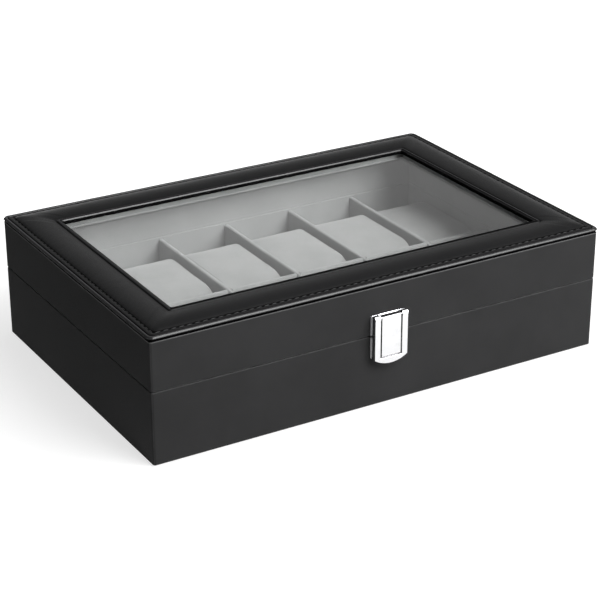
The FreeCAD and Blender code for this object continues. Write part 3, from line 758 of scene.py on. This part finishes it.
def soften_mitres(bm, border):
    """Rounds the ridge where two crowns meet, because the padding runs on under one skin."""
    half = border_half(border)
    start = border.seam_in + CREST_MARGIN[0]
    end = border.width - border.inner_bead - CREST_MARGIN[1]
    crest = []
    for v in bm.verts:
        from_end, from_front = half.x - abs(v.co.x), half.y - abs(v.co.y)
        if start < min(from_end, from_front) < end and abs(from_end - from_front) < MITRE_REACH:
            crest.append(v)
    for _ in range(MITRE_PASSES):
        bmesh.ops.smooth_vert(bm, verts=crest, factor=0.5, use_axis_z=True)


STITCH_HEIGHT = 0.00168
STITCH_SHARE = 0.34
STITCH_FLATNESS = 0.45
STITCH_SLANT = math.radians(5)
CORNER_SLACK = 0.1


def sew_seam(border):
    """The seam's stitches: one slim rounded thread from each needle hole to the next."""
    pitch = border.stitch_pitch
    skipped = math.ceil(border.seam_in / pitch - CORNER_SLACK)
    lie = Matrix.Rotation(math.pi / 2, 4, "Y")
    size = Matrix.Diagonal((pitch * STITCH_SHARE, border.thread / 2, border.thread * STITCH_FLATNESS, 1))
    slant = Matrix.Rotation(STITCH_SLANT, 4, "Z")
    bm = bmesh.new()
    for run, across, turn in border_sides(border):
        reach = run - (skipped + 0.5) * pitch
        start = (-reach, border.seam_in - across, COVER_LOW.z + STITCH_HEIGHT)
        row = bmesh.new()
        bmesh.ops.create_uvsphere(row, u_segments=8, v_segments=6, radius=1.0,
                                  matrix=Matrix.Translation(start) @ slant @ size @ lie)
        bmesh.ops.spin(row, geom=row.verts[:] + row.edges[:] + row.faces[:], axis=(0, 0, 1),
                       dvec=(pitch, 0, 0), angle=0.0, steps=round(2 * reach / pitch), use_duplicate=True)
        join_in(bm, row, turn)
    bmesh.ops.recalc_face_normals(bm, faces=bm.faces)
    return bm


# Pillows

ROUND_STEPS, FLAT_CUTS, ACROSS_CUTS = 6, 11, 13
SHORT_SIDE = 0.004
RIM_SLACK = 0.0001


def pillow_blank(size, top_round, foot_round):
    """The unstuffed pillow on the origin: a band with four rounds, closed by an end panel on each side."""
    bm = bmesh.new()
    box = Matrix.Translation((0, 0, size.z / 2)) @ Matrix.Diagonal((*size, 1))
    bmesh.ops.create_cube(bm, size=1.0, matrix=box)
    for level, radius in ((size.z, top_round), (0.0, foot_round)):
        rounds = [e for e in bm.edges if edge_run(e).x > size.x / 2
                  and all(abs(v.co.z - level) < NEAR for v in e.verts)]
        bmesh.ops.bevel(bm, geom=rounds, offset=radius, offset_type="OFFSET", segments=ROUND_STEPS,
                        profile=0.5, affect="EDGES", material=-1)
    panels = [f for f in bm.faces if abs(f.normal.x) > 0.9]
    bmesh.ops.delete(bm, geom=panels, context="FACES_ONLY")
    flats = [e for e in bm.edges if edge_run(e).y > size.y / 4 and edge_run(e).x < NEAR]
    bmesh.ops.subdivide_edges(bm, edges=flats, cuts=FLAT_CUTS, use_grid_fill=True)
    sides = [e for e in bm.edges if edge_run(e).z > SHORT_SIDE and edge_run(e).y < NEAR]
    bmesh.ops.subdivide_edges(bm, edges=sides, cuts=1, use_grid_fill=True)
    across = [e for e in bm.edges if edge_run(e).x > size.x / 2]
    bmesh.ops.subdivide_edges(bm, edges=across, cuts=ACROSS_CUTS, use_grid_fill=True)
    half_way = math.sin(math.radians(45))
    above = size.z - top_round * (1 - half_way) - RIM_SLACK
    below = foot_round * (1 - half_way) + RIM_SLACK
    for side in (-1, 1):
        rim = [e for e in bm.edges if e.is_boundary and all(v.co.x * side > 0 for v in e.verts)]
        ends = [e for e in rim if all(v.co.z > above for v in e.verts)
                or all(v.co.z < below for v in e.verts)]
        bmesh.ops.grid_fill(bm, edges=ends)
    bmesh.ops.recalc_face_normals(bm, faces=bm.faces)
    if any(e.is_boundary for e in bm.edges):
        raise RuntimeError("the pillow's end panels are not closed")
    return bm


def sewn_edges(bm, size):
    """The edges where the band meets the end panels."""
    seams = []
    for e in bm.edges:
        if edge_run(e).x < NEAR and all(abs(v.co.x) > size.x / 2 - 10 * NEAR for v in e.verts):
            flat = [abs(f.normal.x) > 0.7 for f in e.link_faces]
            if any(flat) and not all(flat):
                seams.append(e)
    return seams


STUFFING_FRAMES = 20


def stuff(mesh, sewn, settings):
    """Swells a mesh with Cloth pressure, its seams held, and gives the moved points."""
    scene = bpy.context.scene
    rest = [v.co.copy() for v in mesh.vertices]
    form = bpy.data.objects.new("stuffing", mesh)
    scene.collection.objects.link(form)
    form.vertex_groups.new(name="sewn").add(sewn, 1.0, "REPLACE")
    cloth = form.modifiers.new("Stuffing", "CLOTH")
    cloth.settings.quality = 6
    cloth.settings.mass = 0.3
    cloth.settings.tension_stiffness = 15
    cloth.settings.compression_stiffness = 15
    cloth.settings.shear_stiffness = 5
    cloth.settings.bending_stiffness = 0.05
    cloth.settings.use_pressure = True
    cloth.settings.uniform_pressure_force = settings.pressure
    cloth.settings.effector_weights.gravity = 0
    cloth.settings.vertex_group_mass = "sewn"
    cloth.collision_settings.use_collision = False
    cloth.point_cache.frame_start = 1
    cloth.point_cache.frame_end = STUFFING_FRAMES
    for step in range(1, STUFFING_FRAMES + 1):
        scene.frame_set(step)
    swollen = form.evaluated_get(bpy.context.evaluated_depsgraph_get()).to_mesh()
    moved = []
    for before, after in zip(rest, swollen.vertices):
        step = after.co - before
        if step.length > settings.swell:
            step = step.normalized() * settings.swell
        moved.append(before + step)
    form.to_mesh_clear()
    scene.frame_set(1)
    bpy.data.objects.remove(form)
    return moved


SWELL_ROOM = Vector((0.0010, 0.0014, 0.0014))
SEAM_CREASE = 0.55


def stuffed_pillow(settings):
    """One pillow on the origin, stuffed, with its end seams gathered and its foot flat."""
    size = PILLOW_SIZE - SWELL_ROOM
    narrower = SWELL_ROOM.z / 2
    bm = pillow_blank(size, settings.top_round - narrower, settings.foot_round - narrower)
    seams = sewn_edges(bm, size)
    bm.verts.index_update()
    bm.edges.index_update()
    sewn = sorted({v.index for e in seams for v in e.verts})
    seam_numbers = [e.index for e in seams]
    mesh = bpy.data.meshes.new("pillow blank")
    bm.to_mesh(mesh)
    moved = stuff(mesh, sewn, settings)
    bm.verts.ensure_lookup_table()
    for v, place in zip(bm.verts, moved):
        v.co = place
    bm.edges.ensure_lookup_table()
    crease = bm.edges.layers.float.new("crease_edge")
    for number in seam_numbers:
        bm.edges[number][crease] = SEAM_CREASE
    for v in bm.verts:
        v.co.z = max(v.co.z, 0.0)
    bpy.data.meshes.remove(mesh)
    return bm


# Operators

def settings_of(context):
    """The watch box's settings in the open scene."""
    return context.scene.watch_box


class WATCHBOX_OT_wrap_walls(bpy.types.Operator):
    """Covers the walls of base and lid in leatherette"""
    bl_idname = "watchbox.wrap_walls"
    bl_label = "Wrap walls"

    def execute(self, context):
        look = settings_of(context).leatherette
        finish = leatherette("Leatherette wrap", tuple(look.wrap_colour), look.grain,
                             gloss=0.52, specular=0.02, depth=0.00007, groove=GROOVE_FOOT)
        dress(["base_wrap", "lid_wrap"], finish)
        return {"FINISHED"}


class WATCHBOX_OT_pad_border(bpy.types.Operator):
    """Makes the padded border round the window"""
    bl_idname = "watchbox.pad_border"
    bl_label = "Pad border"

    def execute(self, context):
        look = settings_of(context).leatherette
        colour = tuple(look.border_colour)
        finish = leatherette("Leatherette border", colour, look.grain,
                             gloss=0.36, specular=0.12, depth=0.00005)
        piece = new_piece("lid_border_padding", pad_border(settings_of(context).border), finish,
                          "lid")
        # Bead finish: a paler copy of the border leatherette, a painted highlight; its gloss is the leather's
        # own.
        bead = leatherette("Leatherette bead", shade(colour, 2.2), look.grain,
                           gloss=0.17, specular=0.40, depth=0.00002)
        # Edge finish: a darker copy, painted shade in the creases, the seam valley and the window edge.
        edge = leatherette("Leatherette painted shade", shade(colour, 0.3), look.grain,
                           gloss=0.60, specular=0.03, depth=0.00003)
        # Ridge finish: a paler copy, a painted highlight along the inner bead.
        ridge = leatherette("Leatherette ridge painted highlight", shade(colour, 4.5), look.grain,
                            gloss=0.45, specular=0.05, depth=0.00002)
        for skin in (bead, edge, ridge):
            piece.data.materials.append(skin)
        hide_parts("lid_top_cover")
        return {"FINISHED"}


class WATCHBOX_OT_sew_seam(bpy.types.Operator):
    """Sews the seam of the padded border"""
    bl_idname = "watchbox.sew_seam"
    bl_label = "Sew seam"

    def execute(self, context):
        finish = thread_finish(tuple(settings_of(context).leatherette.thread_colour))
        new_piece("lid_border_stitches", sew_seam(settings_of(context).border), finish, "lid")
        return {"FINISHED"}


class WATCHBOX_OT_line_inside(bpy.types.Operator):
    """Lines the walls, floor, dividers and glass frame with velvet"""
    bl_idname = "watchbox.line_inside"
    bl_label = "Line inside"

    def execute(self, context):
        look = settings_of(context).velvet
        finish = velvet("Lining velvet", tuple(look.lining_colour), look.pile, brush=0.03, sheen=0.35)
        lined = nodes_with("base_lining", "base_floor_lining", "lid_lining", "long_divider", "divider_")
        dress(lined + ["glass_retainer"], finish)
        return {"FINISHED"}


TURN_LIMIT = 0.5
SIDE_PLAY, END_PLAY = 0.0004, 0.0005
EVEN_FOOT = 0.004
DENT_DEPTH, DENT_SCALE = 0.00025, 55.0


class WATCHBOX_OT_stuff_pillows(bpy.types.Operator):
    """Makes a stuffed pillow for each cell"""
    bl_idname = "watchbox.stuff_pillows"
    bl_label = "Stuff pillows"

    def execute(self, context):
        look = settings_of(context).velvet
        finish = velvet("Pillow velvet", tuple(look.pillow_colour), look.pile, brush=0.018, sheen=0.4)
        settings = settings_of(context).pillow
        pattern = stuffed_pillow(settings)
        for number, name in enumerate(sorted(nodes_with("pillow_"))):
            chance = random.Random(settings.seed + number)
            low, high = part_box(name)
            bm = pattern.copy()
            turn = Matrix.Rotation(math.radians(chance.uniform(-TURN_LIMIT, TURN_LIMIT)), 4, "Z")
            place = Vector(((low.x + high.x) / 2, (low.y + high.y) / 2, low.z))
            place += Vector((chance.uniform(-SIDE_PLAY, SIDE_PLAY), chance.uniform(-END_PLAY, END_PLAY), 0.0))
            shift = Vector((chance.uniform(0, 9), chance.uniform(0, 9), 0.0))
            bm.normal_update()
            for v in bm.verts:
                if v.co.z > EVEN_FOOT:
                    v.co += v.normal * DENT_DEPTH * noise.noise(v.co * DENT_SCALE + shift)
            bmesh.ops.transform(bm, matrix=Matrix.Translation(place) @ turn, verts=bm.verts)
            piece = new_piece(name.replace("pillow", "cushion"), bm, finish, name)
            rounding = piece.modifiers.new("Rounding", "SUBSURF")
            rounding.levels = 2
            rounding.render_levels = 2
            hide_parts(name)
        pattern.free()
        return {"FINISHED"}


class WATCHBOX_OT_glaze_lid(bpy.types.Operator):
    """Glazes the window"""
    bl_idname = "watchbox.glaze_lid"
    bl_label = "Glaze lid"

    def execute(self, context):
        dress(["glass_pane"], glass_finish())
        return {"FINISHED"}


class WATCHBOX_OT_plate_metal(bpy.types.Operator):
    """Plates the latch with chrome and the hinges with nickel"""
    bl_idname = "watchbox.plate_metal"
    bl_label = "Plate metal"

    def execute(self, context):
        dress(nodes_with("latch_"), chrome_finish())
        dress(nodes_with("hinge_"), nickel_finish())
        return {"FINISHED"}


class WATCHBOX_OT_finish_boards(bpy.types.Operator):
    """Finishes the fibreboard walls and the felt underside"""
    bl_idname = "watchbox.finish_boards"
    bl_label = "Finish boards"

    def execute(self, context):
        walls = [name for name in nodes_with("base_", "lid_") if name.endswith(("_panel", "_board", "_rail"))]
        dress(walls, fibreboard_finish())
        dress(["underside_felt"], felt_finish())
        return {"FINISHED"}


class WATCHBOX_OT_set_stage(bpy.types.Operator):
    """Sets the floor, the light and the camera"""
    bl_idname = "watchbox.set_stage"
    bl_label = "Set stage"

    def execute(self, context):
        studio = settings_of(context).studio
        scene = context.scene
        scene.view_settings.view_transform = "Standard"
        lay_floor(studio, scene)
        light_room(studio, scene)
        stand_camera(studio, scene)
        return {"FINISHED"}


# Stage

SHADED_FLOOR = (0.40, 0.40, 0.40)
GLOW_SPAN, GLOW_LEVELS = (0.17, 0.34), (0.70, 0.93)
UNLIT_SPAN, UNLIT_SHARE = (-0.21, -0.15), 0.9


def lay_floor(studio, scene):
    """A wide pale floor, white to the camera and darker in reflections on the left. It keeps the shadow."""
    bm = bmesh.new()
    bmesh.ops.create_grid(bm, x_segments=4, y_segments=4, size=6.0)
    mesh = bpy.data.meshes.new("floor")
    bm.to_mesh(mesh)
    bm.free()
    floor = bpy.data.objects.new("floor", mesh)
    scene.collection.objects.link(floor)
    finish = bpy.data.materials.new("Pale floor")
    finish.use_nodes = True
    tree = finish.node_tree
    tree.nodes.clear()
    leave = node(tree, "ShaderNodeOutputMaterial", 800, 0)
    place = node(tree, "ShaderNodeTexCoord", -900, 260)
    path = node(tree, "ShaderNodeLightPath", -400, 500)
    glossy, through = path.outputs["Is Glossy Ray"], path.outputs["Is Transmission Ray"]
    shape = node(tree, "ShaderNodeMapping", -700, 260)
    shape.inputs["Scale"].default_value = (1.0, 1.3, 1.0)
    tree.links.new(place.outputs["Object"], shape.inputs["Vector"])
    away = node(tree, "ShaderNodeVectorMath", -500, 260, operation="LENGTH")
    tree.links.new(shape.outputs["Vector"], away.inputs[0])
    lift = map_range(tree, away.outputs["Value"], *GLOW_SPAN, *GLOW_LEVELS, -300, 260, True)
    glow = node(tree, "ShaderNodeEmission", 0, 260)
    tree.links.new(lift, glow.inputs["Strength"])
    white = node(tree, "ShaderNodeAddShader", 220, 180)
    tree.links.new(matt(tree, SHADED_FLOOR, 0, 100), white.inputs[0])
    tree.links.new(glow.outputs[0], white.inputs[1])
    seen = math_node(tree, "MAXIMUM", path.outputs["Is Camera Ray"], glossy, -200, 500)
    seen = math_node(tree, "MAXIMUM", seen, through, 0, 500)
    floor_seen = mix_shaders(
        tree, seen, matt(tree, studio.floor_colour, 0, -100), white.outputs[0], 500, 0)
    split = node(tree, "ShaderNodeSeparateXYZ", -700, -200)
    tree.links.new(place.outputs["Object"], split.inputs[0])
    left = map_range(tree, split.outputs["X"], *UNLIT_SPAN, UNLIT_SHARE, 0.0, -500, -200, True)
    mirrored = math_node(tree, "SUBTRACT", glossy, through, -360, -360)
    unlit = math_node(tree, "MULTIPLY", left, mirrored, -200, -200)
    shaded = mix_shaders(tree, unlit, floor_seen, matt(tree, (0.0, 0.0, 0.0), 0, -300), 650, -100)
    tree.links.new(shaded, leave.inputs["Surface"])
    mesh.materials.append(finish)


def lamp(scene, name, place, aim, size, power):
    """A square soft lamp, turned to a point."""
    light = bpy.data.lights.new(name, "AREA")
    light.shape = "SQUARE"
    light.size = size
    light.energy = power
    holder = bpy.data.objects.new(name, light)
    scene.collection.objects.link(holder)
    holder.location = place
    holder.visible_camera = False
    holder.rotation_euler = (Vector(aim) - Vector(place)).to_track_quat("-Z", "Y").to_euler()


UPPER_SPAN, UPPER_SHARE = (0.34, 0.56), 0.65
RIGHT_SPAN, RIGHT_SHARE = (0.44, 0.56), 0.58
LEFT_SPAN, LEFT_SHARE = (-0.45, 0.35), 0.25


def light_room(studio, scene):
    """Soft light, weaker on the left and in reflections on the right, with a key lamp and four fills."""
    room = bpy.data.worlds.new("Studio")
    scene.world = room
    room.use_nodes = True
    tree = room.node_tree
    sky = tree.nodes["Background"]
    sky.inputs["Color"].default_value = (1.0, 1.0, 1.0, 1.0)
    path = node(tree, "ShaderNodeLightPath", -900, 200)
    clear = math_node(
        tree, "MAXIMUM", path.outputs["Is Glossy Ray"], path.outputs["Is Transmission Ray"], -700, 200)
    place = node(tree, "ShaderNodeTexCoord", -900, -100)
    split = node(tree, "ShaderNodeSeparateXYZ", -700, -100)
    tree.links.new(place.outputs["Generated"], split.inputs[0])
    low = studio.reflected_light - studio.room_light
    high = UPPER_SHARE * studio.reflected_light - studio.room_light
    more = map_range(tree, split.outputs["Z"], *UPPER_SPAN, low, high, -700, 400, True)
    right = map_range(tree, split.outputs["X"], *RIGHT_SPAN, 1.0, RIGHT_SHARE, -700, 560, True)
    shown = math_node(tree, "MULTIPLY", more, right, -520, 460)
    gain = math_node(tree, "MULTIPLY", clear, shown, -520, 300)
    level = math_node(tree, "ADD", gain, studio.room_light, -340, 300)
    side = map_range(tree, split.outputs["X"], *LEFT_SPAN, LEFT_SHARE, 1.0, -520, -100, True)
    lit = math_node(tree, "MULTIPLY", level, side, -180, 200)
    strength = math_node(tree, "MAXIMUM", lit, path.outputs["Is Camera Ray"], -20, 200)
    tree.links.new(strength, sky.inputs["Strength"])
    lamp(scene, "key lamp", (0.50, -1.00, 1.00), (0, 0, 0.04), 1.05, studio.key_power)
    lamp(scene, "top lamp", (0.35, -0.20, 1.50), (0, 0, 0.04), 1.0, studio.top_power)
    lamp(scene, "side lamp", (0.50, -0.62, 0.22), (0.05, -0.10, 0.05), 0.4, studio.side_power)
    lamp(scene, "back lamp", (-0.12, 0.90, 0.045), (0.00, 0.10, 0.04), 0.08, studio.back_power)
    lamp(scene, "left lamp", (-0.95, 0.25, 0.045), (-0.15, 0.05, 0.04), 0.08, studio.left_power)


def stand_camera(studio, scene):
    """The camera at the photograph's viewing angle."""
    lens = bpy.data.cameras.new("camera")
    lens.sensor_width = 36.0
    lens.lens = studio.lens
    lens.clip_start = 0.01
    camera = bpy.data.objects.new("camera", lens)
    scene.collection.objects.link(camera)
    turn, rise = studio.azimuth, studio.elevation
    back = Vector((math.sin(turn) * math.cos(rise), -math.cos(turn) * math.cos(rise), math.sin(rise)))
    right = Vector((0, 0, 1)).cross(back).normalized()
    up = back.cross(right)
    axes = Matrix((right, up, back)).transposed() @ Matrix.Rotation(studio.roll, 3, "Z")
    camera.matrix_world = Matrix.Translation(studio.camera_place) @ axes.to_4x4()
    scene.camera = camera


class WATCHBOX_PT_sidebar(bpy.types.Panel):
    """The watch box's settings and steps"""
    bl_idname = "WATCHBOX_PT_sidebar"
    bl_label = "Watch box"
    bl_space_type = "VIEW_3D"
    bl_region_type = "UI"
    bl_category = "Watch box"

    def draw(self, context):
        settings = settings_of(context)
        for name in settings.__annotations__:
            group = getattr(settings, name)
            box = self.layout.box()
            for key in group.__annotations__:
                box.prop(group, key)
        for step in OPERATORS:
            self.layout.operator(step.bl_idname)


OPERATORS = (
    WATCHBOX_OT_wrap_walls,
    WATCHBOX_OT_pad_border,
    WATCHBOX_OT_sew_seam,
    WATCHBOX_OT_line_inside,
    WATCHBOX_OT_stuff_pillows,
    WATCHBOX_OT_glaze_lid,
    WATCHBOX_OT_plate_metal,
    WATCHBOX_OT_finish_boards,
    WATCHBOX_OT_set_stage,
)

CLASSES = (
    LeatheretteSettings,
    BorderSettings,
    VelvetSettings,
    PillowSettings,
    StudioSettings,
    WatchBoxSettings,
) + OPERATORS + (WATCHBOX_PT_sidebar,)


def register():
    for item in CLASSES:
        bpy.utils.register_class(item)
    bpy.types.Scene.watch_box = PointerProperty(type=WatchBoxSettings)


def unregister():
    del bpy.types.Scene.watch_box
    for item in reversed(CLASSES):
        bpy.utils.unregister_class(item)


def main():
    register()
    bpy.ops.watchbox.wrap_walls()
    bpy.ops.watchbox.pad_border()
    bpy.ops.watchbox.sew_seam()
    bpy.ops.watchbox.line_inside()
    bpy.ops.watchbox.stuff_pillows()
    bpy.ops.watchbox.glaze_lid()
    bpy.ops.watchbox.plate_metal()
    bpy.ops.watchbox.finish_boards()
    bpy.ops.watchbox.set_stage()


if __name__ == "__main__":
    main()
